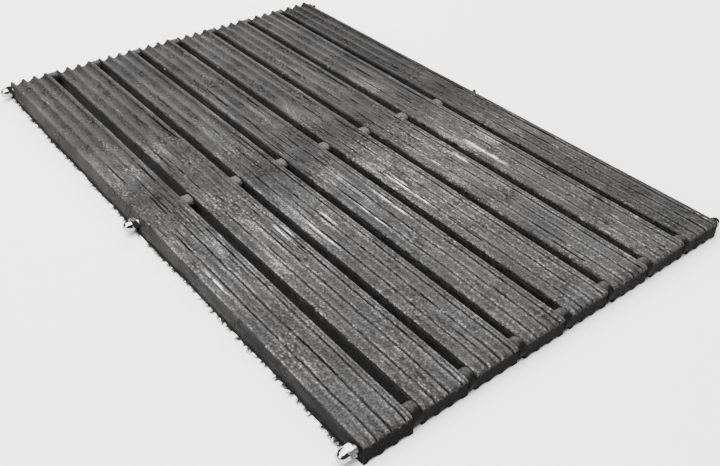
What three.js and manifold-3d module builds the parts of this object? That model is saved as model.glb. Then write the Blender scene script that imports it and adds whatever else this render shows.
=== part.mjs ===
// Slatted rubber doormat: eight ribbed rubber strips laid side by side, held apart by rubber
// spacer tubes on three steel cross rods, with a domed cap nut on each rod end.
// Millimetres, +Z up. The strips run along Y, the rods along X. The origin is the middle of
// the mat, at the level of the floor that it lies on.

import * as THREE from 'three';
import { mergeVertices } from 'three/addons/utils/BufferGeometryUtils.js';
import Module from 'manifold-3d';

const wasm = await Module();
wasm.setup();

// Strips
const stripCount = 8;
const stripLength = 600;
const stripThickness = 16.3;   // crest to crest, both faces are ribbed
const stripGap = 7.5;          // open slot between two strips
const ridgesPerFace = 4;
const ridgePitch = 12.2;
const crestWidth = 2.6;
const lipWidth = 4.5;          // of the last crest, along a strip's right edge
const topValleyDepth = 3.0;
const bottomValleyDepth = 2.4;

// Cross rods
const rodDiameter = 6;
const rodInset = 6.5;          // from a strip's end to the axis of the rod beside it
const rodHeight = 8.15;        // axis above the floor
const holeClearance = 0.35;    // all round a rod, in the strips and in the spacers

// Spacer tubes
const spacerDiameter = 16;
const seatClearance = 0.3;     // between faces that bear on each other

// Cap nuts
const nutAcrossFlats = 10;
const nutHexHeight = 5;
const nutChamferAngle = Math.PI / 6;
const nutNeckDiameter = 9.5;
const nutHeight = 12;
const nutWall = 2.2;           // of the dome, over the end of the rod
const threadClearance = 0.3;

// Facets
const valleySteps = 7;
const holeSides = 12;
const spacerSides = 20;
const nutSides = 18;
const domeSteps = 5;
const cutterMargin = 1;        // that a cutting body stands out past what it cuts

const stripWidth = (ridgesPerFace - 1) * ridgePitch + lipWidth;
const stripPitch = stripWidth + stripGap;
const matWidth = (stripCount - 1) * stripPitch + stripWidth;
const holeDiameter = rodDiameter + 2 * holeClearance;
const rodRows = [
  ['front', -stripLength / 2 + rodInset],
  ['middle', 0],
  ['back', stripLength / 2 - rodInset],
];

const wornRubber = new THREE.MeshStandardMaterial({ color: 0x5d5c59, roughness: 0.86, metalness: 0 });
const spacerRubber = new THREE.MeshStandardMaterial({ color: 0x66625d, roughness: 0.82, metalness: 0 });
const rodSteel = new THREE.MeshStandardMaterial({ color: 0x9d9c98, roughness: 0.45, metalness: 1 });
const nutSteel = new THREE.MeshStandardMaterial({ color: 0xd8d8d4, roughness: 0.16, metalness: 1 });

// A closed geometry as a solid that can be joined and cut.
function toSolid(geometry) {
  const bare = geometry.index ? geometry.toNonIndexed() : geometry.clone();
  bare.deleteAttribute('normal');
  bare.deleteAttribute('uv');
  const merged = mergeVertices(bare, 1e-4);
  const vertProperties = new Float32Array(merged.attributes.position.array);
  const triVerts = new Uint32Array(merged.index.array);
  return new wasm.Manifold(new wasm.Mesh({ numProp: 3, vertProperties, triVerts }));
}

function toGeometry(solid) {
  const mesh = solid.getMesh();
  const geometry = new THREE.BufferGeometry();
  geometry.setAttribute('position', new THREE.BufferAttribute(new Float32Array(mesh.vertProperties), 3));
  geometry.setIndex(new THREE.BufferAttribute(new Uint32Array(mesh.triVerts), 1));
  geometry.computeVertexNormals();
  return geometry;
}

function namedMesh(name, geometry, material) {
  const mesh = new THREE.Mesh(geometry, material.clone());
  mesh.name = name;
  return mesh;
}

// A round bar along X, centred on the origin.
function barAlongX(diameter, length, sides) {
  return new THREE.CylinderGeometry(diameter / 2, diameter / 2, length, sides).rotateZ(Math.PI / 2);
}

// The hollow between two crests is an arc of a circle. Points run from x = from to x = to,
// the hollow lies on the side that sign points to.
function valleyArc(from, to, level, depth, sign) {
  const half = Math.abs(to - from) / 2;
  const radius = (half * half + depth * depth) / (2 * depth);
  const sweep = Math.asin(Math.min(1, half / radius));
  const middle = (from + to) / 2;
  const way = Math.sign(to - from);
  const points = [];
  for (let step = 1; step < valleySteps; step += 1) {
    const angle = -sweep + (2 * sweep * step) / valleySteps;
    const drop = depth - radius * (1 - Math.cos(angle));
    points.push(new THREE.Vector2(middle + way * radius * Math.sin(angle), level + sign * drop));
  }
  return points;
}

// Section of a strip across its length, from x = 0 to stripWidth and from the floor up.
function stripSection() {
  const crests = Array.from({ length: ridgesPerFace }, (_, ridge) => {
    const left = ridge * ridgePitch;
    return [left, left + (ridge < ridgesPerFace - 1 ? crestWidth : lipWidth)];
  });
  const outline = [];
  crests.forEach(([left, right], ridge) => {
    outline.push(new THREE.Vector2(left, 0), new THREE.Vector2(right, 0));
    if (ridge < ridgesPerFace - 1) {
      outline.push(...valleyArc(right, left + ridgePitch, 0, bottomValleyDepth, 1));
    }
  });
  crests.reverse().forEach(([left, right], ridge) => {
    outline.push(new THREE.Vector2(right, stripThickness), new THREE.Vector2(left, stripThickness));
    if (ridge < ridgesPerFace - 1) {
      const next = left - ridgePitch + crestWidth;
      outline.push(...valleyArc(left, next, stripThickness, topValleyDepth, -1));
    }
  });
  return new THREE.Shape(outline);
}

// One strip with the three rod holes through its width, centred on the origin in X and Y.
function stripGeometry() {
  const blank = new THREE.ExtrudeGeometry(stripSection(), {
    depth: stripLength, bevelEnabled: false, steps: 1, curveSegments: 1,
  });
  blank.rotateX(Math.PI / 2);
  blank.translate(-stripWidth / 2, stripLength / 2, 0);
  let strip = toSolid(blank);
  rodRows.forEach(([, y]) => {
    const drillLength = stripWidth + 2 * cutterMargin;
    const drill = barAlongX(holeDiameter, drillLength, holeSides).translate(0, y, rodHeight);
    strip = strip.subtract(toSolid(drill));
  });
  return toGeometry(strip);
}

// A spacer is a thick tube, turned about the rod's axis.
function spacerGeometry() {
  const half = stripGap / 2 - seatClearance;
  const inner = holeDiameter / 2;
  const outer = spacerDiameter / 2;
  const profile = [
    new THREE.Vector2(inner, -half),
    new THREE.Vector2(outer, -half),
    new THREE.Vector2(outer, half),
    new THREE.Vector2(inner, half),
    new THREE.Vector2(inner, -half),
  ];
  return new THREE.LatheGeometry(profile, spacerSides).rotateZ(Math.PI / 2);
}

// A cap nut: a hexagon with chamfered corners and a dome over the rod end, with a blind bore.
// It is made along +X with its bearing face at x = 0 and two of its flats facing up and down.
function capNutGeometry() {
  const acrossCorners = nutAcrossFlats / Math.cos(Math.PI / 6);
  const hexagon = new THREE.CylinderGeometry(acrossCorners / 2, acrossCorners / 2, nutHexHeight, 6);
  hexagon.translate(0, nutHexHeight / 2, 0);
  const flatRadius = nutAcrossFlats / 2;
  const coneRadius = acrossCorners / 2 + cutterMargin;
  const coneDrop = (coneRadius - flatRadius) * Math.tan(nutChamferAngle);
  const chamferCone = new THREE.LatheGeometry([
    new THREE.Vector2(0, -cutterMargin),
    new THREE.Vector2(coneRadius, -cutterMargin),
    new THREE.Vector2(coneRadius, nutHexHeight - coneDrop),
    new THREE.Vector2(flatRadius, nutHexHeight),
    new THREE.Vector2(0, nutHexHeight),
  ], nutSides);
  const neckRadius = nutNeckDiameter / 2;
  const domeRise = Math.min(neckRadius, nutHeight - nutHexHeight);
  const domeProfile = [new THREE.Vector2(0, nutHexHeight / 2), new THREE.Vector2(neckRadius, nutHexHeight / 2)];
  for (let step = 0; step < domeSteps; step += 1) {
    const angle = (Math.PI / 2) * (step / domeSteps);
    const height = nutHeight - domeRise + domeRise * Math.sin(angle);
    domeProfile.push(new THREE.Vector2(neckRadius * Math.cos(angle), height));
  }
  domeProfile.push(new THREE.Vector2(0, nutHeight));
  const dome = new THREE.LatheGeometry(domeProfile, nutSides);
  const boreDepth = nutHeight - nutWall;
  const boreRadius = rodDiameter / 2 + threadClearance;
  const bore = new THREE.CylinderGeometry(boreRadius, boreRadius, boreDepth * 2, holeSides);
  const body = toSolid(hexagon).intersect(toSolid(chamferCone)).add(toSolid(dome));
  return toGeometry(body.subtract(toSolid(bore))).rotateY(Math.PI / 6).rotateZ(-Math.PI / 2);
}

const mat = new THREE.Group();

const strip = stripGeometry();
const stripCentre = (index) => -matWidth / 2 + stripWidth / 2 + index * stripPitch;
for (let index = 0; index < stripCount; index += 1) {
  const mesh = namedMesh(`strip_${index + 1}`, strip, wornRubber);
  mesh.position.x = stripCentre(index);
  mat.add(mesh);
}

const spacer = spacerGeometry();
const capNut = capNutGeometry();
const nutSeat = matWidth / 2 + seatClearance;
const rodLength = 2 * (nutSeat + nutHeight - nutWall - seatClearance);
rodRows.forEach(([row, y]) => {
  const line = new THREE.Group();
  line.position.set(0, y, rodHeight);
  line.add(namedMesh(`rod_${row}`, barAlongX(rodDiameter, rodLength, holeSides), rodSteel));
  for (let index = 0; index < stripCount - 1; index += 1) {
    const mesh = namedMesh(`spacer_${row}_${index + 1}`, spacer, spacerRubber);
    mesh.position.x = stripCentre(index) + stripPitch / 2;
    line.add(mesh);
  }
  const rightNut = namedMesh(`cap_nut_${row}_right`, capNut, nutSteel);
  rightNut.position.x = nutSeat;
  const leftNut = namedMesh(`cap_nut_${row}_left`, capNut, nutSteel);
  leftNut.position.x = -nutSeat;
  leftNut.rotation.z = Math.PI;
  line.add(rightNut, leftNut);
  mat.add(line);
});

export default mat;
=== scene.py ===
import math

import bmesh
import bpy
import numpy as np
from mathutils import Matrix, Vector


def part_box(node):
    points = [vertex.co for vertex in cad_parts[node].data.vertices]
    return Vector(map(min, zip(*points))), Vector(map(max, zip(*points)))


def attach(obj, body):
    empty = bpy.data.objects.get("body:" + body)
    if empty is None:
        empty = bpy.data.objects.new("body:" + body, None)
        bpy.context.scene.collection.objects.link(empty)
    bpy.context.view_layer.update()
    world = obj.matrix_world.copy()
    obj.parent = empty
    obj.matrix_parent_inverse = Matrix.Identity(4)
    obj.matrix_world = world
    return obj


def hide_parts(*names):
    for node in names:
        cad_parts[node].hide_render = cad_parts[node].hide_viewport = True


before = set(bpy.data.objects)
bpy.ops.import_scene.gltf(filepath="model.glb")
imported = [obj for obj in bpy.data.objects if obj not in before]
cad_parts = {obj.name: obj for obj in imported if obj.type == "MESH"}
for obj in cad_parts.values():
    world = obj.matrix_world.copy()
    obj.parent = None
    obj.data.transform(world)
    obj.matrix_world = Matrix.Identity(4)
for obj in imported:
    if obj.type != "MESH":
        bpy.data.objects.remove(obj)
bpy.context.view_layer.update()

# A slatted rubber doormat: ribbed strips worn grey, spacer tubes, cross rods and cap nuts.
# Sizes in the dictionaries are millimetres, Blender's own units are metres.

mm = 0.001


def lowHigh(node):
    low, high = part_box(node)
    return [value / mm for value in low], [value / mm for value in high]


# Shader helpers

def addNode(tree, kind, inputs=None, **settings):
    node = tree.nodes.new(kind)
    for name, value in settings.items():
        setattr(node, name, value)
    for name, value in (inputs or {}).items():
        socket = node.inputs[name]
        if isinstance(value, bpy.types.NodeSocket):
            tree.links.new(value, socket)
        else:
            socket.default_value = value
    return node


def maths(tree, operation, first, second=None, clamp=False):
    inputs = {0: first}
    if second is not None:
        inputs[1] = second
    return addNode(tree, "ShaderNodeMath", inputs, operation=operation, use_clamp=clamp).outputs[0]


def remap(tree, value, fromLow, fromHigh, toLow=0.0, toHigh=1.0):
    inputs = {"Value": value, "From Min": fromLow, "From Max": fromHigh, "To Min": toLow, "To Max": toHigh}
    return addNode(tree, "ShaderNodeMapRange", inputs, clamp=True).outputs["Result"]


def blendColours(tree, factor, first, second, mode="MIX"):
    node = addNode(tree, "ShaderNodeMix", data_type="RGBA", blend_type=mode)
    for socket, value in ((node.inputs[0], factor), (node.inputs[6], first), (node.inputs[7], second)):
        if isinstance(value, bpy.types.NodeSocket):
            tree.links.new(value, socket)
        else:
            socket.default_value = value
    return node.outputs[2]


def grey(level, warmth=0.0):
    return (level * (1 + warmth), level, level * (1 - warmth), 1.0)


def newGroup(name, inputs, outputs):
    tree = bpy.data.node_groups.new(name, "ShaderNodeTree")
    for label, kind, value in inputs:
        socket = tree.interface.new_socket(label, in_out="INPUT", socket_type=kind)
        if value is not None:
            socket.default_value = value
    for label, kind in outputs:
        tree.interface.new_socket(label, in_out="OUTPUT", socket_type=kind)
    return tree, tree.nodes.new("NodeGroupInput").outputs, tree.nodes.new("NodeGroupOutput").inputs


def placeGroup(tree, group, **inputs):
    node = tree.nodes.new("ShaderNodeGroup")
    node.node_tree = group
    for name, value in inputs.items():
        socket = node.inputs[name]
        if isinstance(value, bpy.types.NodeSocket):
            tree.links.new(value, socket)
        else:
            socket.default_value = value
    return node.outputs


def drawnOut(tree, given):
    # Coordinates scaled across and along the strips, so that a pattern is drawn out along Y.
    across, along = given["Across"], given["Along"]
    spread = addNode(tree, "ShaderNodeCombineXYZ", {0: across, 1: along, 2: across})
    return addNode(tree, "ShaderNodeVectorMath", {0: given["Coordinates"], 1: spread.outputs[0]},
                   operation="MULTIPLY").outputs[0]


def makeGrainGroup():  # wood-like streaks that run along Y
    tree, given, result = newGroup(
        "lengthwiseGrain",
        [("Coordinates", "NodeSocketVector", None), ("Across", "NodeSocketFloat", 800.0),
         ("Along", "NodeSocketFloat", 50.0), ("Detail", "NodeSocketFloat", 4.0)],
        [("Tone", "NodeSocketFloat")])
    noise = addNode(tree, "ShaderNodeTexNoise", {"Vector": drawnOut(tree, given), "Scale": 1.0,
                    "Detail": given["Detail"], "Roughness": 0.62, "Distortion": 0.25})
    tree.links.new(remap(tree, noise.outputs[0], 0.25, 0.75), result["Tone"])
    return tree


def makePatchGroup():  # soft blotches of dust or polish
    tree, given, result = newGroup(
        "softPatches",
        [("Coordinates", "NodeSocketVector", None), ("Size", "NodeSocketFloat", 25.0),
         ("Cover", "NodeSocketFloat", 0.5), ("Softness", "NodeSocketFloat", 0.2)],
        [("Mask", "NodeSocketFloat")])
    noise = addNode(tree, "ShaderNodeTexNoise", {"Vector": given["Coordinates"], "Scale": given["Size"],
                    "Detail": 5.0, "Roughness": 0.55, "Distortion": 0.6})
    level = maths(tree, "SUBTRACT", 1.0, given["Cover"])
    low = maths(tree, "SUBTRACT", level, given["Softness"])
    high = maths(tree, "ADD", level, given["Softness"])
    tree.links.new(remap(tree, noise.outputs[0], low, high), result["Mask"])
    return tree


def makeScaleGroup():  # small torn scales, longer than they are wide
    tree, given, result = newGroup(
        "tornScales",
        [("Coordinates", "NodeSocketVector", None), ("Across", "NodeSocketFloat", 420.0),
         ("Along", "NodeSocketFloat", 300.0)],
        [("Height", "NodeSocketFloat")])
    cells = addNode(tree, "ShaderNodeTexVoronoi", {"Vector": drawnOut(tree, given), "Scale": 1.0,
                    "Randomness": 0.95}, feature="F1")
    tree.links.new(remap(tree, cells.outputs["Distance"], 0.1, 0.75, 1.0, 0.0), result["Height"])
    return tree


def makeFleckGroup():  # fine specks of dust and pores
    tree, given, result = newGroup(
        "fineFlecks",
        [("Coordinates", "NodeSocketVector", None), ("Scale", "NodeSocketFloat", 600.0),
         ("Detail", "NodeSocketFloat", 2.0), ("Roughness", "NodeSocketFloat", 0.5),
         ("Low", "NodeSocketFloat", 0.35), ("High", "NodeSocketFloat", 0.65)],
        [("Mask", "NodeSocketFloat")])
    noise = addNode(tree, "ShaderNodeTexNoise", {"Vector": given["Coordinates"], "Scale": given["Scale"],
                    "Detail": given["Detail"], "Roughness": given["Roughness"]})
    tree.links.new(remap(tree, noise.outputs[0], given["Low"], given["High"]), result["Mask"])
    return tree


grainGroup = makeGrainGroup()
fleckGroup = makeFleckGroup()
patchGroup = makePatchGroup()
scaleGroup = makeScaleGroup()


def newMaterial(name):
    material = bpy.data.materials.new(name)
    material.use_nodes = True
    tree = material.node_tree
    shader = tree.nodes["Principled BSDF"]
    return material, tree, shader


def setRoughness(tree, shader, value, finish):
    rough = remap(tree, value, 0.0, 1.0, finish["smoothest"], finish["roughest"])
    tree.links.new(rough, shader.inputs["Roughness"])


def addRelief(tree, shader, height, finish):
    bump = addNode(tree, "ShaderNodeBump", {"Strength": finish["reliefStrength"],
                   "Distance": finish["reliefHeight"], "Height": height})
    tree.links.new(bump.outputs[0], shader.inputs["Normal"])


def attribute(tree, name):
    return addNode(tree, "ShaderNodeAttribute", attribute_name=name).outputs["Fac"]


print("shader groups made")


# Rubber of the strips

stripFinish = {
    "tones": ((0.0, 0.0015), (0.2, 0.006), (0.5, 0.027), (0.74, 0.057), (1.0, 0.24)),
    "cut": 0.001, "cutDust": 0.0055, "paintedHighlight": 0.95, "highlightHairs": (0.42, 0.56, 0.05, 1.0),
    "warm": (1.06, 1.0, 0.93, 1.0), "cool": (1.0, 0.985, 0.99, 1.0),
    "roughest": 0.9, "smoothest": 0.55, "roughFleck": 0.5, "roughWearAndLight": -0.6, "specular": 0.07,
    "streak": {"Across": 560.0, "Along": 30.0, "Detail": 4.0},
    "hair": {"Across": 1300.0, "Along": 120.0, "Detail": 2.0},
    "fleck": {"Scale": 620.0, "Detail": 2.0, "Roughness": 0.55, "Low": 0.36, "High": 0.64},
    "hue": {"Scale": 17.0, "Detail": 3.0, "Low": 0.4, "High": 0.6},
    "dust": {"Size": 20.0, "Cover": 0.5, "Softness": 0.15},
    "torn": {"Size": 38.0, "Cover": 0.46, "Softness": 0.05},
    "scales": {"Across": 430.0, "Along": 290.0},
    # How much each pattern pushes the tone and the relief.
    "toneWeights": {"fleck": 0.34, "dust": 0.14, "tornScale": 0.4, "wearAndLight": 0.7},
    "fibreWeights": {"streak": 0.26, "hair": 0.24}, "leastFibre": 0.35, "hollowShade": 0.5,
    "reliefWeights": {"streak": 0.35, "hair": 0.3, "fleck": 0.5, "tornScale": 0.8},
    "reliefStrength": 0.8, "reliefHeight": 0.0006,
}


def weigh(tree, total, value, weight):
    # Adds a value from 0 to 1 as a push up or down from the middle.
    return maths(tree, "ADD", total, maths(tree, "MULTIPLY", maths(tree, "SUBTRACT", value, 0.5), weight))


def makeStripMaterial():
    material, tree, shader = newMaterial("wornStripRubber")
    finish = stripFinish
    here = addNode(tree, "ShaderNodeTexCoord").outputs["Object"]
    streak = placeGroup(tree, grainGroup, Coordinates=here, **finish["streak"])["Tone"]
    hair = placeGroup(tree, grainGroup, Coordinates=here, **finish["hair"])["Tone"]
    fleck = placeGroup(tree, fleckGroup, Coordinates=here, **finish["fleck"])["Mask"]
    hue = placeGroup(tree, fleckGroup, Coordinates=here, **finish["hue"])["Mask"]
    dust = placeGroup(tree, patchGroup, Coordinates=here, **finish["dust"])["Mask"]
    torn = placeGroup(tree, patchGroup, Coordinates=here, **finish["torn"])["Mask"]
    scales = placeGroup(tree, scaleGroup, Coordinates=here, **finish["scales"])["Height"]
    # The tone field from the mesh: dust and rubbed wear together with painted light and shade.
    wearAndLight = attribute(tree, "wearAndLight")
    tornScale = maths(tree, "ADD", 0.5, maths(tree, "MULTIPLY", torn, maths(tree, "SUBTRACT", scales, 0.5)))
    patterns = {"streak": streak, "hair": hair, "fleck": fleck, "dust": dust, "tornScale": tornScale,
                "wearAndLight": wearAndLight}

    tone = 0.5
    for name, weight in finish["toneWeights"].items():
        tone = weigh(tree, tone, patterns[name], weight)
    fibrous = 0.0
    for name, weight in finish["fibreWeights"].items():
        fibrous = weigh(tree, fibrous, patterns[name], weight)
    trodden = maths(tree, "ADD", finish["leastFibre"], attribute(tree, "trodden"))
    tone = maths(tree, "ADD", tone, maths(tree, "MULTIPLY", fibrous, trodden))
    # Painted shade from the slits, grooves and pits darkens the tone.
    shade = maths(tree, "MULTIPLY", attribute(tree, "hollowPaintedShade"), finish["hollowShade"])
    tone = maths(tree, "SUBTRACT", tone, shade, clamp=True)

    ramp = addNode(tree, "ShaderNodeValToRGB", {0: tone})
    steps = ramp.color_ramp.elements
    steps[0].color, steps[1].color = grey(finish["tones"][0][1]), grey(finish["tones"][-1][1])
    for position, level in finish["tones"][1:-1]:
        steps.new(position).color = grey(level)
    tint = blendColours(tree, hue, finish["cool"], finish["warm"])
    top = blendColours(tree, 1.0, ramp.outputs[0], tint, "MULTIPLY")
    # Painted specular highlight: the streaks are blended to near white.
    highlighted = maths(tree, "MULTIPLY", attribute(tree, "paintedHighlight"), remap(tree, hair, *finish["highlightHairs"]))
    top = blendColours(tree, highlighted, top, grey(finish["paintedHighlight"]))
    cutTone = blendColours(tree, fleck, grey(finish["cut"]), grey(finish["cutDust"]))
    tree.links.new(blendColours(tree, attribute(tree, "cutFaceAndShade"), top, cutTone), shader.inputs["Base Color"])

    rough = weigh(tree, weigh(tree, 0.5, fleck, finish["roughFleck"]), wearAndLight, finish["roughWearAndLight"])
    setRoughness(tree, shader, remap(tree, rough, 0.2, 0.8), finish)
    relief = 0.0
    for name, weight in finish["reliefWeights"].items():
        relief = maths(tree, "ADD", relief, maths(tree, "MULTIPLY", patterns[name], weight))
    addRelief(tree, shader, relief, finish)
    shader.inputs["Specular IOR Level"].default_value = finish["specular"]
    return material


spacerFinish = {
    "fleck": {"Scale": 600.0, "Detail": 3.0, "Roughness": 0.6, "Low": 0.34, "High": 0.66},
    "bare": (grey(0.0015), grey(0.005)), "dustyAndLit": (grey(0.018, 0.04), grey(0.085, 0.06)),
    "smoothest": 0.6, "roughest": 0.85, "specular": 0.1, "reliefStrength": 0.6, "reliefHeight": 0.0004,
}


def makeSpacerMaterial():
    material, tree, shader = newMaterial("spacerRubber")
    finish = spacerFinish
    here = addNode(tree, "ShaderNodeTexCoord").outputs["Object"]
    fleck = placeGroup(tree, fleckGroup, Coordinates=here, **finish["fleck"])["Mask"]
    bare = blendColours(tree, fleck, *finish["bare"])
    dustyAndLit = blendColours(tree, fleck, *finish["dustyAndLit"])
    # Dust on the tops, shifted to the back as painted light from the back.
    dustAndLight = attribute(tree, "dustAndPaintedLight")
    tree.links.new(blendColours(tree, dustAndLight, bare, dustyAndLit), shader.inputs["Base Color"])
    setRoughness(tree, shader, fleck, finish)
    addRelief(tree, shader, fleck, finish)
    shader.inputs["Specular IOR Level"].default_value = finish["specular"]
    return material


cordFinish = {
    "fleck": {"Scale": 400.0, "Detail": 3.0}, "dark": grey(0.006), "pale": grey(0.035, 0.05),
    "smoothest": 0.725, "roughest": 0.875,
}


def makeCordMaterial():
    material, tree, shader = newMaterial("frayedCord")
    finish = cordFinish
    here = addNode(tree, "ShaderNodeTexCoord").outputs["Object"]
    fleck = placeGroup(tree, fleckGroup, Coordinates=here, **finish["fleck"])["Mask"]
    tree.links.new(blendColours(tree, fleck, finish["dark"], finish["pale"]), shader.inputs["Base Color"])
    setRoughness(tree, shader, fleck, finish)
    return material


steelFinish = {
    "haze": {"Size": 240.0, "Cover": 0.5, "Softness": 0.25}, "hazeLoss": 0.86, "warmth": 0.01,
    "grain": 900.0, "reliefStrength": 0.08, "reliefHeight": 0.0001,
}


def makeSteelMaterial(name, level, smooth, dull):
    material, tree, shader = newMaterial(name)
    finish = steelFinish
    here = addNode(tree, "ShaderNodeTexCoord").outputs["Object"]
    haze = placeGroup(tree, patchGroup, Coordinates=here, **finish["haze"])["Mask"]
    clear = grey(level, finish["warmth"])
    hazed = grey(level * finish["hazeLoss"], finish["warmth"])
    tree.links.new(blendColours(tree, haze, clear, hazed), shader.inputs["Base Color"])
    tree.links.new(remap(tree, haze, 0.0, 1.0, smooth, dull), shader.inputs["Roughness"])
    shader.inputs["Metallic"].default_value = 1.0
    grain = addNode(tree, "ShaderNodeTexNoise", {"Vector": here, "Scale": finish["grain"], "Detail": 2.0})
    addRelief(tree, shader, grain.outputs[0], finish)
    return material


stripRubber = makeStripMaterial()
spacerRubber = makeSpacerMaterial()
cordBlack = makeCordMaterial()
nutSteel = makeSteelMaterial("brightNutSteel", level=0.48, smooth=0.08, dull=0.16)
rodSteel = makeSteelMaterial("platedRodSteel", level=0.55, smooth=0.3, dull=0.45)
print("materials made")


# Mesh helpers

def latticeNoise(rng, xs, ys, cellX, cellY):
    # Smooth random values from -1 to 1 on a grid of ys by xs.
    columns = (xs - xs.min()) / cellX + rng.uniform(0, 1)
    rows = (ys - ys.min()) / cellY + rng.uniform(0, 1)
    lattice = rng.uniform(-1, 1, (int(rows.max()) + 3, int(columns.max()) + 3))
    column = np.floor(columns).astype(int)
    row = np.floor(rows).astype(int)
    across = columns - column
    along = rows - row
    across = across * across * (3 - 2 * across)
    along = (along * along * (3 - 2 * along))[:, None]
    near = lattice[row][:, column] * (1 - across) + lattice[row][:, column + 1] * across
    far = lattice[row + 1][:, column] * (1 - across) + lattice[row + 1][:, column + 1] * across
    return near * (1 - along) + far * along


def lineNoise(rng, ys, cell):
    return latticeNoise(rng, np.zeros(1), ys, 1.0, cell)[:, 0]


def meshObject(name, verts, faces, material, smooth=True):
    mesh = bpy.data.meshes.new(name)
    mesh.from_pydata(verts, [], faces)
    mesh.update()
    mesh.polygons.foreach_set("use_smooth", [smooth] * len(mesh.polygons))
    mesh.materials.append(material)
    piece = bpy.data.objects.new(name, mesh)
    bpy.context.collection.objects.link(piece)
    return piece


def finishPiece(piece, node=None):
    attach(piece, "root")
    if node:
        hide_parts(node)


# Ribbed strips

stripForm = {
    "count": 8, "ridges": 4, "ridgePitch": 12.2, "crestWidth": 2.6, "topValley": 3.0,
    "underValley": 2.4, "stations": 440,
    # Places of the section's points, from the left edge of each ridge and of the lip at the right.
    "topPlaces": [0, 0.4, 0.8, 1.4, 2.2, 3.1, 4.0, 4.8, 5.4, 6.0, 6.6, 7.4, 8.1, 8.7, 9.3, 9.9, 10.4, 10.8,
                  11.15, 11.45, 11.75, 12.0],
    "topLipPlaces": [0, 0.4, 0.9, 1.5, 2.0, 2.4, 2.9, 3.5, 4.0, 4.3, 4.5],
    "underPlaces": [0, 2.6, 4.4, 6.4, 8.4, 10.4], "underLipPlaces": [0, 4.5],
    # A crisp ridge falls from its left edge to a flat, swells to a second lobe and drops to a groove.
    "crispAt": [0, 0.5, 1.2, 2.6, 4.4, 6.0, 7.2, 8.8, 9.7, 10.5, 11.1, 11.5, 11.85, 12.2],
    "crispDrop": [0.1, 0, 0.12, 0.35, 0.5, 0.62, 0.4, 0.12, 0.3, 0.75, 1.1, 1.3, 0.8, 0.1],
    "lipAt": [0, 0.5, 1.3, 2.1, 2.6, 3.2, 4.0, 4.5], "lipDrop": [0.1, 0, 0.2, 0.3, 0.1, 0.05, 0.1, 0.3],
    # Strip by strip, from the left.
    "crispness": [1.15, 1.0, 0.95, 0.9, 0.75, 0.7, 0.65, 0.65],
    "leftRounds": [0.8, 1.0, 1.2, 1.9, 2.0, 3.0, 2.6, 2.2],
    "trims": [0.9, 0, 0, 0, 0, 0, 0, 0], "shifts": [0, 0, 0, 0, 0.5, 0.7, 0.9, 0.1],
    "frontSlants": [2.4, 0.6, 0.3, 0.8, 0.4, 0.9, 0.5, 0.7],    # how far the foot of a cut end stands out
    # Up the walls from the floor: places as shares of the height, and how black the wall is there, as bare
    # rubber below the dust and as painted shade deep in the slots.
    "wallShares": [0.03, 0.12, 0.34, 0.58, 0.75, 0.87, 0.95],
    "wallShadeAndDirt": [1.0, 1.0, 0.98, 0.92, 0.78, 0.55, 0.3],
    "endSteps": [0, 0.25, 0.7, 1.4, 2.4], "endMargin": 3.5,
    # Heights and cells of the gentle waviness of a whole strip.
    "sway": 0.3, "swayLength": 140, "sink": 0.2, "sinkLength": 110,
    "noseDrop": 1.9, "noseReach": 2.4,
    "notchAt": 5.4, "notchShare": 0.5, "notchDepth": 0.9, "notchLength": 5.0,
    "footInset": 0.5, "footReach": 1.4, "underWave": 0.12, "wallRoughness": 0.16, "slantReach": 12.0,
}
lipStart = (stripForm["ridges"] - 1) * stripForm["ridgePitch"]    # left edge of the last ridge

# The tops: ridges that waver, crisp in front, soft at the back and worn flat in the middle.
topForm = {
    "wander": 0.5, "driftLengths": (34, 11), "steadyLeft": 6.0, "steadyRight": 5.0,
    "crispFrom": -10.0, "crispFade": 28.0, "leastCrisp": 0.04, "farFrom": 20.0, "farFade": 110.0,
    "wornReach": 85.0, "wornFlat": 0.5, "wornUneven": 0.25, "wornSink": 0.3,
    "uneven": 0.12, "unevenLength": 50, "strengthLimits": (0.2, 1.1),
    "softDepth": 2.2, "waveShare": 0.6, "arcShare": 0.35, "lipSag": 0.5, "lipBlendFrom": 3.5, "lipBlend": 2.0,
    "endDeepening": 1.0, "endReach": 12.0, "deepest": 6.0, "proudest": 0.2,
    # Cells of the grain across and along, and its height.
    "grain": ((1.0, 22, 0.6), (2.0, 48, 0.5)), "grainHeight": 0.07, "wornGrain": 0.2,
    "pitCells": (1.3, 3.2), "pitHeight": 0.07, "crestReach": 1.6, "crestSag": 0.15, "crestSagLength": 9,
    "rightRound": 0.4, "farRounding": 1.7, "hairlineAt": 2.1, "hairlineReach": 0.4, "hairlineDepth": 0.35,
    "hairlineLength": 40,
}

# The groove at the foot of each ridge, and the wider one beside the lip, both darkened with painted shade.
grooveForm = {
    "place": 11.5, "reach": 0.36, "depth": 0.38, "shade": 0.16, "lipReach": 1.2, "lipShare": 0.4,
    "softShade": 0.25, "open": 0.4, "breaks": 0.9, "breakLength": 11, "farShare": 0.06, "wornLoss": 0.4,
}

# The tone field is 0 where dark and 1 where pale: partly dust and rubbed wear on polished edges, partly
# painted light and shade.
wearAndLightForm = {
    "level": 0.525, "front": 0.08, "reliefDepth": 1.7, "reliefFar": 0.3, "reliefLimits": (-0.35, 0.1),
    "edge": 0.24, "edgeAt": 0.7, "edgeReach": 0.45, "edgeLength": 16,
    "lobe": 0.12, "lobeAt": 8.9, "lobeReach": 0.9, "lobeLength": 18,
    "rim": 0.2, "rimAt": 0.5, "rimReach": 0.45, "flank": 0.1, "flankAt": 4.8,
    "bright": 0.7, "dark": 1.1, "slitDepth": 1.1,
    # Torn scales along the upper left edge.
    "scales": ((1.3, 2.1, 0.3), (2.6, 7, 0.35)), "cutStart": 1.1, "cutWidth": 1.6,
    "cutMost": 0.6, "cutReach": 2.4,
}

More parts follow.
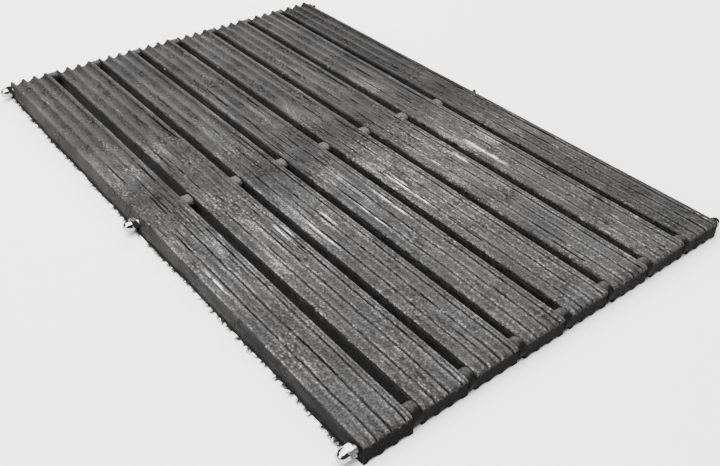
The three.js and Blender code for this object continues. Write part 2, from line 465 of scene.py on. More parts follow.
# How far the foot of the outer left wall stands out, at distances from the front end.
outerLean = {
    "at": [0, 15, 90, 200, 300, 430, 530, 600],
    "out": [0.5, 2.0, 2.1, 2.9, 4.1, 4.1, 3.8, 2.4],
    "scallops": ((0.5, 9), (0.35, 24)), "plainFront": 12.0,
}

# How much of the outer left wall is bare and black, at distances from the front end.
outerGrime = {"at": [0, 30, 120, 260, 600], "share": [0.85, 0.75, 0.5, 0.32, 0.28]}

# Bands of pale dust and painted sheen across the mat as middle, reach and strength, and the dull band between
# them.
dustAndSheenBands = {
    "pale": [(82, 34, 0.9), (-92, 42, 1.2)], "dull": (8, 36, 0.13), "spot": 0.3, "spotWidth": 6.5,
    "hollowAt": 7.0, "hollowReach": 3.5,
    "spotLength": 36, "stripTone": [0.01, 0, 0, 0, 0, -0.02, -0.03, -0.16],
}

# Painted specular highlight streaks on the crests: strip, place across it, middle along it, length and half
# width.
paintedHighlightStreaks = [
    (7, 11.3, -103, 62, 1.3),
    (5, 9.6, -109, 72, 0.9),
    (6, 34.8, -95, 27, 1.3),
    (4, 33.0, -112, 52, 0.75),
    (3, 8.8, -115, 48, 0.7),
    (2, 32.9, -96, 36, 0.8),
    (3, 25.9, -99, 26, 0.7),
    (1, 7.8, -115, 44, 0.5),
    (4, 9.2, -117, 50, 0.45),
    (2, 37.9, -93, 20, 0.5),
    (5, 12.8, -90, 26, 0.5),
    (6, 10.9, -88, 14, 0.6),
]


def ribStations(inPitch, inLip):
    form = stripForm
    ribs = [ridge * form["ridgePitch"] + place for ridge in range(form["ridges"] - 1) for place in inPitch]
    return np.array(ribs + [lipStart + place for place in inLip])


def ribDrop(xs, depth):
    # Depth below the crests of a row of hollows that are arcs of a circle.
    form = stripForm
    inRib = np.where(xs < lipStart, np.mod(xs, form["ridgePitch"]), 0.0)
    half = (form["ridgePitch"] - form["crestWidth"]) / 2
    radius = (half * half + depth * depth) / (2 * depth)
    fromMiddle = np.clip(np.abs(inRib - form["crestWidth"] - half), 0, half)
    drop = depth - radius + np.sqrt(radius * radius - fromMiddle * fromMiddle)
    return np.where(inRib < form["crestWidth"], 0.0, drop)


def edgeRound(distance, radius):
    inside = np.clip(radius - distance, 0, radius)
    return radius - np.sqrt(radius * radius - inside * inside)


def hump(values, middle, reach):
    return np.exp(-((values - middle) / reach) ** 2)


def ridgeLine(xs, place, reach):
    # A soft line along every ridge, at a place across the pitch.
    pitch = stripForm["ridgePitch"]
    return hump(np.mod(xs - place + pitch / 2, pitch) - pitch / 2, 0, reach)


def blurred(values, across, along):
    for axis, reach in ((1, across), (0, along)):
        pad = [(reach, reach) if side == axis else (0, 0) for side in (0, 1)]
        sums = np.cumsum(np.pad(values, pad, mode="edge"), axis=axis)
        sums = np.insert(sums, 0, 0, axis=axis)
        width = 2 * reach + 1
        first = np.take(sums, range(sums.shape[axis] - width), axis=axis)
        values = (np.take(sums, range(width, sums.shape[axis]), axis=axis) - first) / width
    return values


slitRanges = {
    "number": 26, "length": (8, 50), "depth": (0.6, 1.7), "width": (0.32, 0.55), "lip": (0.1, 0.5),
    "footShare": 0.6, "footSpread": 0.4, "edgeMargins": (3, 2),
    "nearShare": 0.8, "near": (-20, 90), "elsewhere": (-290, 150), "bend": 0.008, "lipOffset": 2.1,
    "lipWidth": 0.5,
}


def slitFields(rng, xs, ys):
    # Open slits with a raised sliver on their left, most of them at the foot of a ridge.
    form, ranges = stripForm, slitRanges
    cut = np.zeros((len(ys), len(xs)))
    lip = np.zeros_like(cut)
    leftMargin, rightMargin = ranges["edgeMargins"]
    for _ in range(ranges["number"]):
        ridge = rng.integers(0, form["ridges"] - 1)
        foot = ridge * form["ridgePitch"] + grooveForm["place"]
        place = (foot + rng.normal(0, ranges["footSpread"]) if rng.uniform() < ranges["footShare"]
                 else rng.uniform(leftMargin, xs.max() - rightMargin))
        middle = (rng.normal(*ranges["near"]) if rng.uniform() < ranges["nearShare"]
                  else rng.uniform(*ranges["elsewhere"]))
        keys = ("length", "depth", "width", "lip")
        length, depth, width, rise = (rng.uniform(*ranges[key]) for key in keys)
        bend = rng.normal(0, ranges["bend"])
        taper = np.clip(1 - ((ys - middle) / (length / 2)) ** 4, 0, 1)[:, None]
        offset = xs[None, :] - (place + bend * (ys - middle))[:, None]
        cut = np.maximum(cut, depth * taper * hump(offset, 0, width))
        lip = np.maximum(lip, rise * taper * hump(offset, -width * ranges["lipOffset"], ranges["lipWidth"]))
    return cut, lip


nickRanges = {
    "number": 170, "length": (2.0, 8.0), "width": (0.3, 0.5), "strength": (0.15, 0.75),
    "clusters": 8, "clusterStretch": (-285, -20), "clusterSpread": 18, "clusterShare": 0.75,
    "elsewhere": (-295, 295), "crestShare": 0.5, "crestPlace": (0.4, 0.8), "darkEvery": 3,
}


def nickFields(rng, xs, ys):
    # Short bright nicks and short dark pits, gathered in clusters along the ridges.
    form, ranges = stripForm, nickRanges
    bright = np.zeros((len(ys), len(xs)))
    dark = np.zeros_like(bright)
    clusters = rng.uniform(*ranges["clusterStretch"], ranges["clusters"])
    for count in range(ranges["number"]):
        ridge = rng.integers(0, form["ridges"])
        onCrest = rng.uniform() < ranges["crestShare"]
        place = (ridge * form["ridgePitch"] + rng.normal(*ranges["crestPlace"]) if onCrest
                 else rng.uniform(1, xs.max()))
        middle = (rng.choice(clusters) + rng.normal(0, ranges["clusterSpread"])
                  if rng.uniform() < ranges["clusterShare"] else rng.uniform(*ranges["elsewhere"]))
        length, width, strength = (rng.uniform(*ranges[key]) for key in ("length", "width", "strength"))
        rows = np.abs(ys - middle) < length / 2
        if rows.any():
            shape = strength * hump(xs, place, width)[None, :]
            field = bright if count % ranges["darkEvery"] else dark
            field[rows] = np.maximum(field[rows], shape)
    return bright, dark


def farPart(ys):
    # 0 in the front half of the mat, 1 in its far part.
    return np.clip((ys - topForm["farFrom"]) / topForm["farFade"], 0, 1)[:, None]


def zoneTone(rng, xs, ys, index):
    # Broad tone changes: pale spots in the hollows, in two bands that are partly dust and partly painted
    # sheen, and a dull band between them.
    marks = dustAndSheenBands
    pale = sum(strength * hump(ys, middle, reach) for middle, reach, strength in marks["pale"])[:, None]
    middle, reach, strength = marks["dull"]
    spots = latticeNoise(rng, xs, ys, marks["spotWidth"], marks["spotLength"])
    spots = spots + 0.4 * latticeNoise(rng, xs, ys, marks["spotWidth"] / 2.5, marks["spotLength"] / 2.5)
    inHollow = 0.4 + 0.6 * ridgeLine(xs, marks["hollowAt"], marks["hollowReach"])
    tone = pale * (0.02 + marks["spot"] * np.clip(spots + 0.15, 0, 1) * inHollow) + 0.05 * spots
    return tone - strength * hump(ys, middle, reach)[:, None] + marks["stripTone"][index - 1]


def wanderedPlaces(rng, xs, ys):
    # Places across a strip, moved a little to either side so that the ridge lines waver.
    form, pitch = topForm, stripForm["ridgePitch"]
    longDrift, shortDrift = (latticeNoise(rng, xs, ys, pitch, length) for length in form["driftLengths"])
    steady = np.clip(xs / form["steadyLeft"], 0, 1) * np.clip((xs.max() - xs) / form["steadyRight"], 0, 1)
    return xs[None, :] + form["wander"] * (longDrift + 0.5 * shortDrift) * steady


def zoneShares(rng, xs, ys):
    # Where the ridges are crisp, where feet have worn them flat, and how unevenly.
    form = topForm
    crisp = 1 / (1 + np.exp((ys - form["crispFrom"]) / form["crispFade"]))[:, None]
    crisp = form["leastCrisp"] + (1 - form["leastCrisp"]) * crisp
    worn = np.exp(-np.abs(ys / form["wornReach"]) ** 3)[:, None]
    return crisp, worn, latticeNoise(rng, xs, ys, stripForm["ridgePitch"], form["unevenLength"])


def ridgeDrop(xs, ys, wandered, zones, keep):
    # Depth below the crests: crisp lobes in front, soft waves at the back.
    strip, form = stripForm, topForm
    crispShare, worn, uneven = zones
    pitch = strip["ridgePitch"]
    onLip = xs >= lipStart
    crisp = np.where(onLip, np.interp(xs - lipStart, strip["lipAt"], strip["lipDrop"]),
                     np.interp(np.mod(wandered, pitch), strip["crispAt"], strip["crispDrop"]))
    wave = 0.5 * form["softDepth"] * (1 - np.cos(2 * math.pi * (xs - strip["crestWidth"] / 2) / pitch))
    soft = form["waveShare"] * wave + form["arcShare"] * ribDrop(xs, strip["topValley"])
    soft = np.where(onLip, np.minimum(soft, form["lipSag"]), soft)[None, :]
    strength = 1 - worn * (form["wornFlat"] + form["wornUneven"] * uneven) + form["uneven"] * uneven
    fromEnd = np.minimum(ys - ys.min(), ys.max() - ys)[:, None]
    deeper = 1 + form["endDeepening"] * hump(fromEnd, 0, form["endReach"])
    depth = crisp * keep * crispShare + soft * (1 - crispShare)
    return depth * np.clip(strength, *form["strengthLimits"]) * deeper + form["wornSink"] * worn


def layeredNoise(rng, xs, ys, layers):
    return sum(share * latticeNoise(rng, xs, ys, across, along) for across, along, share in layers)


def stripTop(rng, xs, ys, index):
    # The depth of the top below the crests, and the masks that its material reads.
    strip, form, grooves = stripForm, topForm, grooveForm
    pitch = strip["ridgePitch"]
    wandered = wanderedPlaces(rng, xs, ys)
    zones = zoneShares(rng, xs, ys)
    crispShare, worn, uneven = zones
    nearLip = np.clip((xs - lipStart + form["lipBlendFrom"]) / form["lipBlend"], 0, 1)
    keep = strip["crispness"][index - 1]
    keep = (keep + (1 - keep) * nearLip)[None, :]
    drop = ridgeDrop(xs, ys, wandered, zones, keep)
    grain = layeredNoise(rng, xs, ys, form["grain"])
    pits = latticeNoise(rng, xs, ys, *form["pitCells"])
    drop = drop + (form["grainHeight"] + form["wornGrain"] * worn) * grain + form["pitHeight"] * pits
    crest = ridgeLine(wandered, strip["crestWidth"] / 2, form["crestReach"])
    sagging = (1 + latticeNoise(rng, xs, ys, pitch / 2, form["crestSagLength"])) / 2
    drop = drop + form["crestSag"] * crest * crispShare * sagging

    groove = ridgeLine(wandered, grooves["place"], grooves["reach"]) * (xs[None, :] > strip["crestWidth"])
    lipFoot = hump(xs, lipStart - pitch + grooves["place"], grooves["lipReach"])[None, :]
    broken = latticeNoise(rng, xs, ys, pitch, grooves["breakLength"])
    broken = np.clip(grooves["open"] + grooves["breaks"] * broken, 0, 1)
    reach = grooves["farShare"] + (1 - grooves["farShare"]) * crispShare
    grooveDepth = (broken * keep + lipFoot * grooves["lipShare"]) * reach * (1 - grooves["wornLoss"] * worn)
    groove = groove * grooveDepth
    cut, lip = slitFields(rng, xs, ys)
    drop = drop + grooves["depth"] * groove + cut - lip * (1 - 0.6 * crest)

    hairline = hump(xs, lipStart + form["hairlineAt"], form["hairlineReach"])[None, :]
    opened = np.clip(lineNoise(rng, ys, form["hairlineLength"])[:, None] + 0.6, 0, 1)
    drop = drop + form["hairlineDepth"] * hairline * opened * crispShare
    leftRound = strip["leftRounds"][index - 1] + form["farRounding"] * farPart(ys) * (index > 1)
    drop = drop + edgeRound(xs[None, :], leftRound)
    drop = drop + edgeRound(xs.max() - xs, form["rightRound"])[None, :]
    drop = np.clip(drop, -form["proudest"], form["deepest"])
    wearAndLight, bright, dark = wearAndLightTone(rng, xs, ys, index, drop, wandered, zones, keep)
    # Painted shade in the slits, in the grooves, beside the lip and in the short dark pits.
    shade = grooves["softShade"] * lipFoot * (1 - crispShare)
    hollowPaintedShade = cut / wearAndLightForm["slitDepth"] + grooves["shade"] * groove + shade + wearAndLightForm["dark"] * dark
    return drop, {
        "wearAndLight": np.clip(wearAndLight + wearAndLightForm["bright"] * bright, 0, 1), "hollowPaintedShade": np.clip(hollowPaintedShade, 0, 1),
        "cutFaceAndShade": cutEdge(rng, xs, ys, leftRound, index), "paintedHighlight": paintedHighlightMask(xs, ys, index),
        "trodden": np.clip(worn * (1 + 0.6 * uneven), 0, 1)}


def wearAndLightTone(rng, xs, ys, index, drop, wandered, zones, keep):
    # Tone across the top. Painted shade darkens the hollows of the relief, and painted highlights lighten the
    # raised edges and the rim along the right edge, which are partly also rubbed pale by wear; the flanks
    # carry painted light by their slope.
    form, pitch = wearAndLightForm, stripForm["ridgePitch"]
    crispShare, worn, _ = zones
    # Painted shade and highlight: hollows of the relief are darker and raised edges lighter than their
    # surroundings.
    reliefShading = blurred(drop, 4, 3) - drop
    # Painted highlights: bright lines along the left ridge edges, on the second lobes and along the right
    # rim, partly also rubbed pale by wear.
    edge = np.clip(0.5 + lineNoise(rng, ys, form["edgeLength"])[:, None], 0, 1)
    edge = ridgeLine(wandered, form["edgeAt"], form["edgeReach"]) * edge * keep
    lobe = np.clip(0.5 + 0.8 * latticeNoise(rng, xs, ys, pitch, form["lobeLength"]), 0, 1)
    lobe = ridgeLine(wandered, form["lobeAt"], form["lobeReach"]) * lobe
    rim = hump(xs, xs.max() - form["rimAt"], form["rimReach"])[None, :]
    highlightLines = (form["edge"] * edge + form["lobe"] * lobe) * crispShare
    highlightLines = highlightLines + form["rim"] * rim * (1 - 0.5 * crispShare)
    bright, dark = nickFields(rng, xs, ys)
    # Painted light: in the soft back part each flank is lighter or darker by the way it slopes.
    flank = form["flank"] * np.cos(2 * math.pi * (wandered - form["flankAt"]) / pitch)
    flank = flank * (1 - crispShare) * (1 - worn)
    relief = form["reliefFar"] + (1 - form["reliefFar"]) * crispShare
    reliefShading = np.clip(reliefShading / form["reliefDepth"] * relief, *form["reliefLimits"])
    tone = form["level"] + form["front"] * crispShare + reliefShading + highlightLines + flank
    return tone + zoneTone(rng, xs, ys, index), bright, dark


def cutEdge(rng, xs, ys, leftRound, index):
    # The black cut face shows through along the rounded upper left edge.
    form = wearAndLightForm
    scales = layeredNoise(rng, xs, ys, form["scales"])
    edge = (leftRound * form["cutStart"] - xs[None, :]) / (form["cutWidth"] * leftRound)
    edge = np.clip(edge + 0.5 * scales, 0, form["cutMost"])
    return edge * (index > 1) * (xs[None, :] < form["cutReach"] * leftRound)


def paintedHighlightMask(xs, ys, index):
    # Painted specular highlight streaks along the crests.
    paintedHighlight = np.zeros((len(ys), len(xs)))
    for strip, across, middle, length, reach in paintedHighlightStreaks:
        if strip == index:
            taper = np.clip(1.2 - 1.2 * ((ys - middle) / (length / 2)) ** 2, 0, 1)[:, None]
            paintedHighlight = np.maximum(paintedHighlight, taper * hump(xs, across, reach)[None, :])
    return paintedHighlight


def makeStrip(index):
    form = stripForm
    node = f"strip_{index}"
    low, high = lowHigh(node)
    rng = np.random.default_rng(4100 + index)
    topXs = ribStations(form["topPlaces"], form["topLipPlaces"])
    underXs = ribStations(form["underPlaces"], form["underLipPlaces"])[::-1]
    ends = np.array(form["endSteps"])
    inner = np.linspace(low[1] + form["endMargin"], high[1] - form["endMargin"], form["stations"])
    ys = np.concatenate([low[1] + ends, inner, high[1] - ends[::-1]])
    width, height = high[0] - low[0], high[2]
    walls = np.array(form["wallShares"])

    drop, tops = stripTop(rng, topXs, ys, index)
    sway = form["sway"] * lineNoise(rng, ys, form["swayLength"])
    sink = form["sink"] * (1 + lineNoise(rng, ys, form["sinkLength"]))
    fromEnd = np.minimum(ys - low[1], high[1] - ys)[:, None]
    notch = ridgeLine(topXs, form["notchAt"], 1.0) + ridgeLine(topXs, grooveForm["place"], 0.9)
    nose = edgeRound(fromEnd, form["noseReach"]) / form["noseReach"]
    nose = (form["noseDrop"] + form["notchShare"] * notch) * nose
    nose = nose + form["notchDepth"] * notch * hump(fromEnd, 0, form["notchLength"])
    overZ = height - drop - sink[:, None] - nose
    endInset = form["footInset"] * edgeRound(fromEnd, form["footReach"]) / form["footReach"]
    underZ = ribDrop(underXs, form["underValley"])[None, :] + endInset + 0.02
    underZ = underZ + form["underWave"] * np.abs(latticeNoise(rng, underXs[::-1], ys, 2.4, 30))

    lean = np.zeros((len(ys), 1))
    if index == 1:
        lean = np.interp(ys - low[1], outerLean["at"], outerLean["out"])
        scallop = sum(height * lineNoise(rng, ys, cell) for height, cell in outerLean["scallops"])
        lean = (lean + scallop * np.clip((ys - low[1]) / outerLean["plainFront"], 0, 1))[:, None]
    rough = form["wallRoughness"] * np.abs(latticeNoise(rng, walls * height, ys, 3.5, 6))
    rightX = width - rough
    rightZ = overZ[:, -1:] + (underZ[:, :1] - overZ[:, -1:]) * walls
    leftX = rough - lean * (1 - walls) ** 0.85
    leftZ = underZ[:, -1:] + (overZ[:, :1] - underZ[:, -1:]) * walls
    overX = topXs[None, :] + np.zeros_like(overZ)
    underX = underXs[None, :] - lean * np.clip(1 - underXs / 14, 0, 1)[None, :]

    # Each station is a closed loop: over the top, down on the right, back underneath, up on the left.
    left = low[0] + form["shifts"][index - 1]
    trim = form["trims"][index - 1]
    loopX = np.concatenate([overX, rightX, underX, leftX], 1) * (1 - trim / width) + left + sway[:, None]
    loopZ = np.concatenate([overZ, rightZ, underZ, leftZ], 1)
    frontShare = np.clip(1 - (ys - low[1]) / form["slantReach"], 0, 1)[:, None]
    loopY = ys[:, None] - form["frontSlants"][index - 1] * frontShare * (1 - loopZ / height)
    verts = np.stack([loopX, loopY, loopZ], 2).reshape(-1, 3) * mm
    ring = loopX.shape[1]
    stepOn = (np.arange(ring) + 1) % ring
    starts = (np.arange(len(ys) - 1) * ring)[:, None]
    step = np.arange(ring)
    corners = [starts + step, starts + stepOn, starts + ring + stepOn, starts + ring + step]
    faces = np.stack(corners, 2).reshape(-1, 4).tolist()
    lastStart = (len(ys) - 1) * ring
    faces.append(list(range(ring - 1, -1, -1)))
    faces.append(list(range(lastStart, lastStart + ring)))
    piece = meshObject(f"ribbedStrip_{index}", verts.tolist(), faces, stripRubber)

    around = np.zeros((len(ys), ring - len(topXs)))
    masks = {name: np.concatenate([top, around], 1) for name, top in tops.items()}
    masks["wearAndLight"][:, len(topXs):] = 0.5
    masks["cutFaceAndShade"][:, len(topXs):] = 1.0
    # Dust reaches over the upper left edge, further down it at the back of the mat; lower down the walls are
    # painted black as shade in the slots.
    reachDown = 1 - 0.18 * farPart(ys)
    speckle = 0.25 * latticeNoise(rng, walls * height, ys, 2.5, 5) * (walls > 0.5)
    shadeAndDirt = np.array(form["wallShadeAndDirt"]) * reachDown + speckle
    if index == 1:
        grime = np.interp(ys - low[1], outerGrime["at"], outerGrime["share"])[:, None]
        blotch = 0.3 * latticeNoise(rng, walls * height, ys, 5, 16)
        shadeAndDirt = grime + blotch + 0.9 * (walls < 0.15)
    masks["cutFaceAndShade"][:, -len(walls):] = np.clip(shadeAndDirt, 0, 1)
    for name, values in masks.items():
        layer = piece.data.attributes.new(name, "FLOAT", "POINT")
        layer.data.foreach_set("value", values.astype(np.float32).ravel())
    closeEnds(piece)
    finishPiece(piece, node)
    return {"ys": ys, "low": low, "high": high, "foot": lean[:, 0], "sway": sway,
            "left": left, "right": left + width - trim}


def closeEnds(piece):
    # The end faces get their own corners, so that the cut face is dark and flat.
    mesh = piece.data
    work = bmesh.new()
    work.from_mesh(mesh)
    ends = [face for face in work.faces if len(face.verts) > 4]
    rims = bmesh.ops.split(work, geom=ends)
    caps = [item for item in rims["geom"] if isinstance(item, bmesh.types.BMFace)]
    cutLayer = work.verts.layers.float["cutFaceAndShade"]
    for cap in caps:
        cap.smooth = False
        for vert in cap.verts:
            vert[cutLayer] = 1.0
    bmesh.ops.triangulate(work, faces=caps, ngon_method="BEAUTY")
    bmesh.ops.recalc_face_normals(work, faces=work.faces)
    work.to_mesh(mesh)
    work.free()


stripEdges = {}
for index in range(1, stripForm["count"] + 1):
    stripEdges[index] = makeStrip(index)
print("strips made")


# Frayed cords along the lower edges

frayForm = {
    "outerTufts": 250, "innerTufts": 8, "threads": (4, 10), "length": (2.0, 6.5), "width": (0.45, 0.85),
    "spread": 0.8, "segments": 4, "sides": 3, "lean": (-0.15, 0.5), "turn": 0.3, "rise": (-0.3, 0.35),
    "droop": (0.0, 0.6), "rootDepth": 0.35, "lowest": 0.25, "highestOuter": 1.6, "highestInner": 1.2,
    "endMargins": (8, 4), "innerSize": 0.5,
}


def addThread(verts, faces, root, direction, length, width, droop):
    form = frayForm
    start = len(verts)
    side = direction.cross(Vector((0, 0, 1))).normalized()
    lift = side.cross(direction).normalized()
    for ring in range(form["segments"] + 1):
        share = ring / form["segments"]
        centre = root + direction * length * share - Vector((0, 0, droop * share * share))
        centre.z = max(centre.z, width * 0.6)
        reach = width / 2 * (1 - 0.85 * share)
        for corner in range(form["sides"]):
            angle = 2 * math.pi * corner / form["sides"]
            verts.append((centre + (side * math.cos(angle) + lift * math.sin(angle)) * reach) * mm)
    for ring in range(form["segments"]):
        for corner in range(form["sides"]):
            after = (corner + 1) % form["sides"]
            lower = start + ring * form["sides"]
            upper = lower + form["sides"]
            faces.append((lower + corner, lower + after, upper + after, upper + corner))
    faces.append(tuple(start + corner for corner in reversed(range(form["sides"]))))
    last = start + form["segments"] * form["sides"]
    faces.append(tuple(last + corner for corner in range(form["sides"])))


def makeFray(index):
    form = frayForm
    edge = stripEdges[index]
    rng = np.random.default_rng(7300 + index)
    frontMargin, backMargin = form["endMargins"]
    verts, faces = [], []
    for side in (-1, 1):
        outer = index == 1 and side == -1
        tufts = form["outerTufts"] if outer else form["innerTufts"]
        for _ in range(tufts):
            y = rng.uniform(edge["low"][1] + frontMargin, edge["high"][1] - backMargin)
            foot = np.interp(y, edge["ys"], edge["foot"]) if side < 0 else 0.0
            sway = np.interp(y, edge["ys"], edge["sway"])
            wall = (edge["left"] - foot if side < 0 else edge["right"]) + sway
            lean = rng.normal(*form["lean"])
            size = rng.uniform(0.35, 1.0) ** 1.5 * (1.0 if outer else form["innerSize"])
            for _ in range(rng.integers(*form["threads"])):
                height = rng.uniform(form["lowest"], form["highestOuter" if outer else "highestInner"])
                root = Vector((wall - side * form["rootDepth"], y + rng.normal(0, form["spread"]), height))
                turn = lean + rng.normal(0, form["turn"])
                direction = Vector((side, turn, rng.uniform(*form["rise"]))).normalized()
                length = rng.uniform(*form["length"]) * size
                width = rng.uniform(*form["width"])
                addThread(verts, faces, root, direction, length, width, rng.uniform(*form["droop"]))
    piece = meshObject(f"frayedCords_{index}", [tuple(vert) for vert in verts], faces, cordBlack)
    finishPiece(piece)


for index in range(1, stripForm["count"] + 1):
    makeFray(index)
print("frayed cords made")


# Spacer tubes

spacerForm = {"around": 48, "across": 8, "edge": 0.9, "roughness": 0.14, "bore": 3.35,
              "tops": {"front": 16.3, "middle": 14.9, "back": 16.3}}

# Where dust and painted light lie on the tubes of a row: its tilt to the back, which paints the tops as lit
# from the back, where it starts, how soft and how thick.
spacerDustAndLight = {
    "front": {"tilt": 0.35, "from": 0.6, "over": 0.4, "most": 0.6},
    "middle": {"tilt": -0.05, "from": 0.45, "over": 0.25, "most": 1.0},
    "back": {"tilt": 0.3, "from": 0.5, "over": 0.35, "most": 0.9},
}


def makeSpacer(row, index, seed):
    form, dust = spacerForm, spacerDustAndLight[row]
    node = f"spacer_{row}_{index}"
    low, high = lowHigh(node)
    low[0] += stripForm["shifts"][index - 1] - stripForm["trims"][index - 1]
    high[0] += stripForm["shifts"][index]
    rng = np.random.default_rng(seed)
    centreY, centreZ = (low[1] + high[1]) / 2, (low[2] + high[2]) / 2
    radius = (high[1] - low[1]) / 2
    angles = np.arange(form["around"]) * 2 * math.pi / form["around"]
    length = high[0] - low[0]
    stations = [(0.0, form["bore"]), (0.0, radius - form["edge"])]
    stations.append((0.25 * form["edge"], radius - 0.25 * form["edge"]))
    for step in range(form["across"] + 1):
        share = step / form["across"]
        stations.append((form["edge"] + (length - 2 * form["edge"]) * share, radius))
    stations.append((length - 0.25 * form["edge"], radius - 0.25 * form["edge"]))
    stations += [(length, radius - form["edge"]), (length, form["bore"])]
    wobble = latticeNoise(rng, np.arange(len(stations)) * 1.0, angles * radius, 2.0, 3.0)
    wobble[-1] = wobble[0]
    verts, faces = [], []
    for step, (along, reach) in enumerate(stations):
        for turn, angle in enumerate(angles):
            dip = form["roughness"] * (1 + wobble[turn, step]) if reach > form["bore"] else 0.0
            height = centreZ + (reach - dip) * math.sin(angle)
            height = min(height, form["tops"][row] + 0.3 * wobble[turn, step])
            forward = centreY + (reach - dip) * math.cos(angle)
            verts.append(((low[0] + along) * mm, forward * mm, height * mm))
    rows, around = len(stations), form["around"]
    for step in range(rows):
        after = (step + 1) % rows
        for turn in range(around):
            beside = (turn + 1) % around
            faces.append((step * around + turn, step * around + beside,
                          after * around + beside, after * around + turn))
    piece = meshObject(node.replace("spacer", "spacerTube"), verts, faces, spacerRubber)
    piece.data.flip_normals()
    # Dust mask tilted to the back, so it also stands for painted light from the back.
    lift = np.tile(np.sin(angles + dust["tilt"]), len(stations)) + 0.12 * wobble.T.ravel()
    layer = piece.data.attributes.new("dustAndPaintedLight", "FLOAT", "POINT")
    dustAndLight = dust["most"] * np.clip((lift - dust["from"]) / dust["over"], 0, 1)
    layer.data.foreach_set("value", dustAndLight.astype(np.float32))
    finishPiece(piece, node)


for place, row in enumerate(("front", "middle", "back")):
    for index in range(1, stripForm["count"]):
        makeSpacer(row, index, 900 + place * 20 + index)
print("spacers made")


# Cap nuts

nutForm = {"acrossFlats": 10.0, "hexHeight": 5.0, "height": 12.0, "neck": 9.5, "around": 96,
           "chamferAngle": 30.0, "bore": 3.3, "boreDepth": 9.8, "domeSteps": 14,
           "standOffs": {"front": 3.0, "middle": 2.8, "back": 1.3}}


def nutStations():
    # Pairs of distance from the bearing face and radius, with None where the hexagon is.
    form = nutForm
    neck = form["neck"] / 2
    pairs = [(form["boreDepth"], 0.01), (form["boreDepth"], form["bore"]), (0.0, form["bore"])]
    pairs += [(0.0, form["acrossFlats"] / 2 - 0.3)]
    pairs += [(0.15, None), (0.35, None), (0.7, None)]
    pairs += [(form["hexHeight"] - fall, None) for fall in (0.6, 0.45, 0.3, 0.15, 0.0)]
    pairs += [(form["hexHeight"], neck + 0.1), (form["hexHeight"] + 0.12, neck)]
    shoulder = form["height"] - neck
    for step in range(form["domeSteps"]):
        angle = math.pi / 2 * step / form["domeSteps"]
        pairs.append((shoulder + neck * math.sin(angle), neck * math.cos(angle)))
    pairs.append((form["height"], 0.01))
    return pairs


def nutRadius(along, angle):
    form = nutForm
    half = form["acrossFlats"] / 2
    inSixth = (angle + math.pi / 6) % (math.pi / 3) - math.pi / 6
    flat = half / math.cos(inSixth)
    slope = math.tan(math.radians(form["chamferAngle"]))
    cone = half + (form["hexHeight"] - along) / slope
    seat = half + (along + 0.12) / slope
    return min(flat, cone, seat)


def makeNut(row, side):
    form = nutForm
    node = f"cap_nut_{row}_{side}"
    low, high = lowHigh(node)
    way = -1 if side == "left" else 1
    seat = high[0] if way < 0 else low[0]
    if way < 0:
        seat -= form["standOffs"][row]
    centreY, centreZ = (low[1] + high[1]) / 2, (low[2] + high[2]) / 2
    verts, faces = [], []
    stations = nutStations()
    around = form["around"]
    for along, radius in stations:
        for turn in range(around):
            angle = 2 * math.pi * turn / around
            reach = nutRadius(along, angle) if radius is None else radius
            # The angle runs from +Z, so two of the flats face up and down.
            verts.append(((seat + way * along) * mm, (centreY + reach * math.sin(angle)) * mm,
                          (centreZ + reach * math.cos(angle)) * mm))
    for step in range(len(stations) - 1):
        for turn in range(around):
            beside = (turn + 1) % around
            faces.append((step * around + turn, step * around + beside,
                          (step + 1) * around + beside, (step + 1) * around + turn))
    faces.append(tuple(reversed(range(around))))
    faces.append(tuple((len(stations) - 1) * around + turn for turn in range(around)))
    piece = meshObject(node.replace("cap_nut", "capNut"), verts, faces, nutSteel)
    work = bmesh.new()
    work.from_mesh(piece.data)
    bmesh.ops.recalc_face_normals(work, faces=work.faces)
    for edge in work.edges:
        if len(edge.link_faces) == 2 and edge.calc_face_angle() > math.radians(24):
            edge.smooth = False
    work.to_mesh(piece.data)
    work.free()
    finishPiece(piece, node)


for row in ("front", "middle", "back"):
    for side in ("left", "right"):
        makeNut(row, side)
print("cap nuts made")


# Rods keep their solids and get a plated steel finish

for row in ("front", "middle", "back"):
    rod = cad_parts[f"rod_{row}"]
    rod = rod if isinstance(rod, bpy.types.Object) else bpy.data.objects[rod]
    for place in rod.material_slots:
        place.material = rodSteel
print("rods finished")


# Floor, light and camera

studio = {
    "floor": 0.9, "floorReach": 6.0, "world": 0.07,
    "lights": {
        "overheadLight": {"at": (-0.3, 0.1, 1.9), "size": (2.4, 2.4), "power": 190.0},
        "backLight": {"at": (1.0, 1.05, 1.0), "size": (1.4, 0.6), "power": 44.0},
        "leftFill": {"at": (-1.6, -0.3, 0.9), "size": (1.0, 0.8), "power": 22.0},
    },
}

cameraFit = {
    "at": (-395.55, -545.0, 420.4), "azimuth": -39.083, "elevation": 37.166, "roll": 1.235,
    "focalPixels": 822.7, "frameWidth": 720, "sensor": 36.0,
}


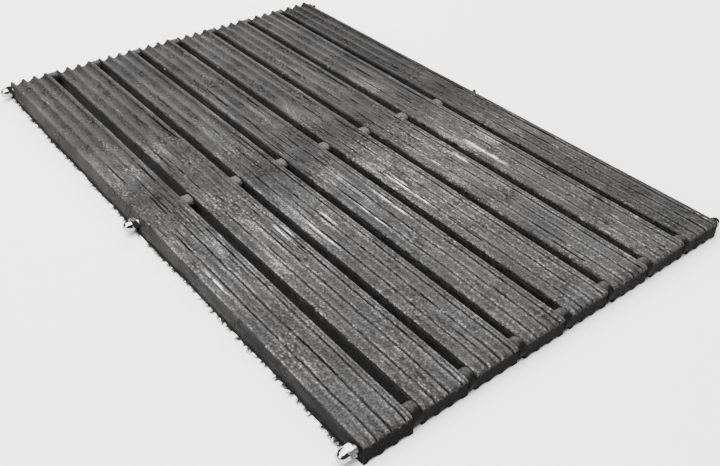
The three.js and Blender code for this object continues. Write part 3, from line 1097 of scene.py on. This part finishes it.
def makeFloor():
    mesh = bpy.data.meshes.new("paleFloor")
    reach = studio["floorReach"]
    mesh.from_pydata([(-reach, -reach, 0), (reach, -reach, 0), (reach, reach, 0), (-reach, reach, 0)], [],
                     [(0, 1, 2, 3)])
    floor = bpy.data.objects.new("paleFloor", mesh)
    bpy.context.collection.objects.link(floor)
    material, _, shader = newMaterial("paleFloor")
    shader.inputs["Base Color"].default_value = grey(studio["floor"])
    shader.inputs["Roughness"].default_value = 0.9
    mesh.materials.append(material)


def makeLight(name, form):
    light = bpy.data.lights.new(name, "AREA")
    light.shape = "RECTANGLE"
    light.size, light.size_y = form["size"]
    light.energy = form["power"]
    lamp = bpy.data.objects.new(name, light)
    lamp.location = form["at"]
    lamp.rotation_euler = (Vector((0, 0, 0)) - lamp.location).to_track_quat("-Z", "Y").to_euler()
    bpy.context.collection.objects.link(lamp)


def makeWorld():
    world = bpy.data.worlds.new("softRoom")
    bpy.context.scene.world = world
    world.use_nodes = True
    back = world.node_tree.nodes["Background"]
    back.inputs[0].default_value = (1, 1, 1, 1)
    back.inputs[1].default_value = studio["world"]


def makeCamera():
    fit = cameraFit
    data = bpy.data.cameras.new("photoView")
    data.sensor_width = fit["sensor"]
    data.lens = fit["focalPixels"] * fit["sensor"] / fit["frameWidth"]
    data.clip_start, data.clip_end = 0.01, 50
    camera = bpy.data.objects.new("photoView", data)
    azimuth, elevation = math.radians(fit["azimuth"]), math.radians(fit["elevation"])
    forward = Vector((-math.sin(azimuth) * math.cos(elevation), math.cos(azimuth) * math.cos(elevation),
                      -math.sin(elevation)))
    right = forward.cross(Vector((0, 0, 1))).normalized()
    up = right.cross(forward)
    turn = Matrix((right, up, -forward)).transposed().to_4x4()
    camera.matrix_world = Matrix.Translation(Vector(fit["at"]) * mm) @ turn @ Matrix.Rotation(
        math.radians(fit["roll"]), 4, "Z")
    bpy.context.collection.objects.link(camera)
    bpy.context.scene.camera = camera


makeFloor()
for name, form in studio["lights"].items():
    makeLight(name, form)
makeWorld()
makeCamera()
print("studio made")
